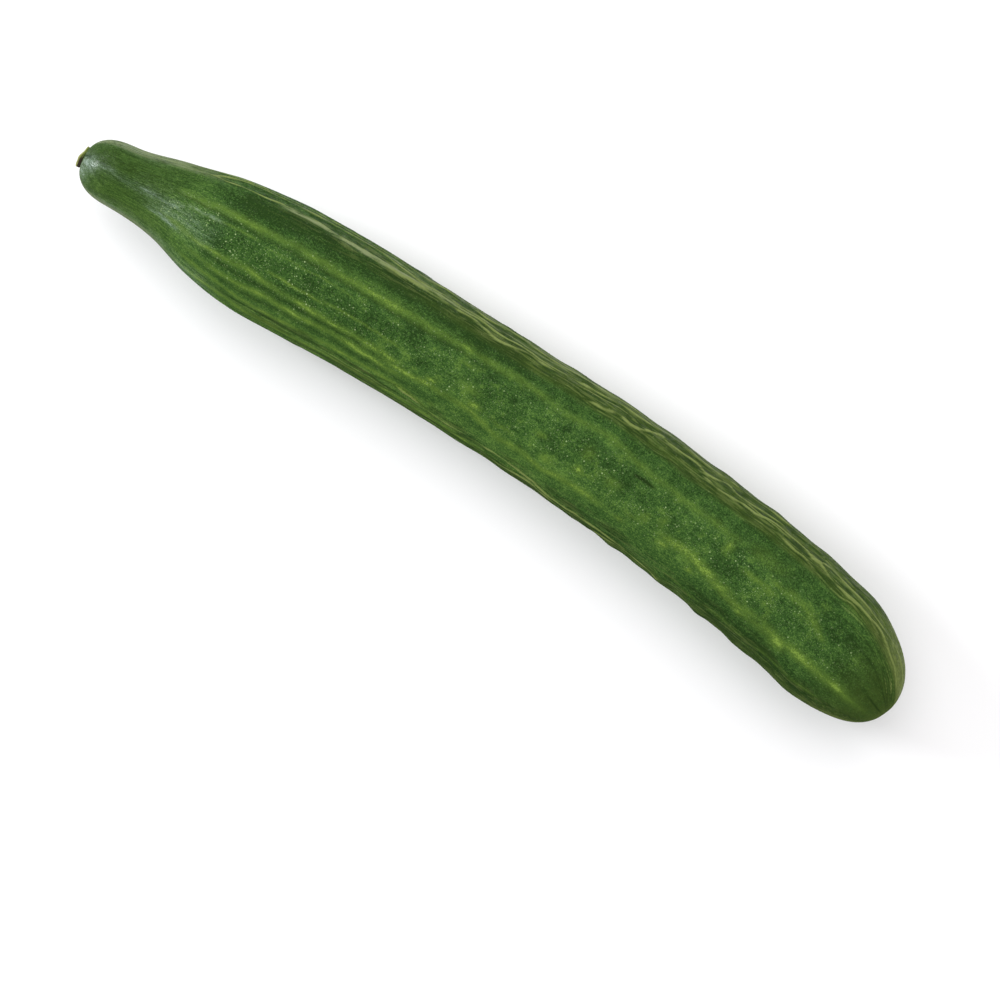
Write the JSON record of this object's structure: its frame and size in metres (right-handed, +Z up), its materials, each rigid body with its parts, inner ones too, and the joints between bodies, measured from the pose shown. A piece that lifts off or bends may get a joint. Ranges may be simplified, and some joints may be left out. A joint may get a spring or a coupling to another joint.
{
  "type": "cucumber",
  "caption": "Whole long greenhouse cucumber lying on its side, slightly bowed, with a narrow ribbed neck, a cut stalk stub and a blunt blossom end.",
  "frame": {"origin": "on the surface that the fruit lies on, under the middle of its bounding box", "axes": "+X along the fruit from its stalk end to its blossom end, +Z up, +Y towards the side that the fruit bows to"},
  "size_m": [0.3381, 0.0513, 0.0442],
  "materials": {
    "skin": "satin dark green skin with paler stripes along it, a thin waxy bloom and a soft sheen",
    "stalk": "matte olive stalk with a browned, dried cut face"
  },
  "bodies": {
    "root": {"fruit": "skin", "stalk_stub": "stalk"}
  },
  "joints": []
}
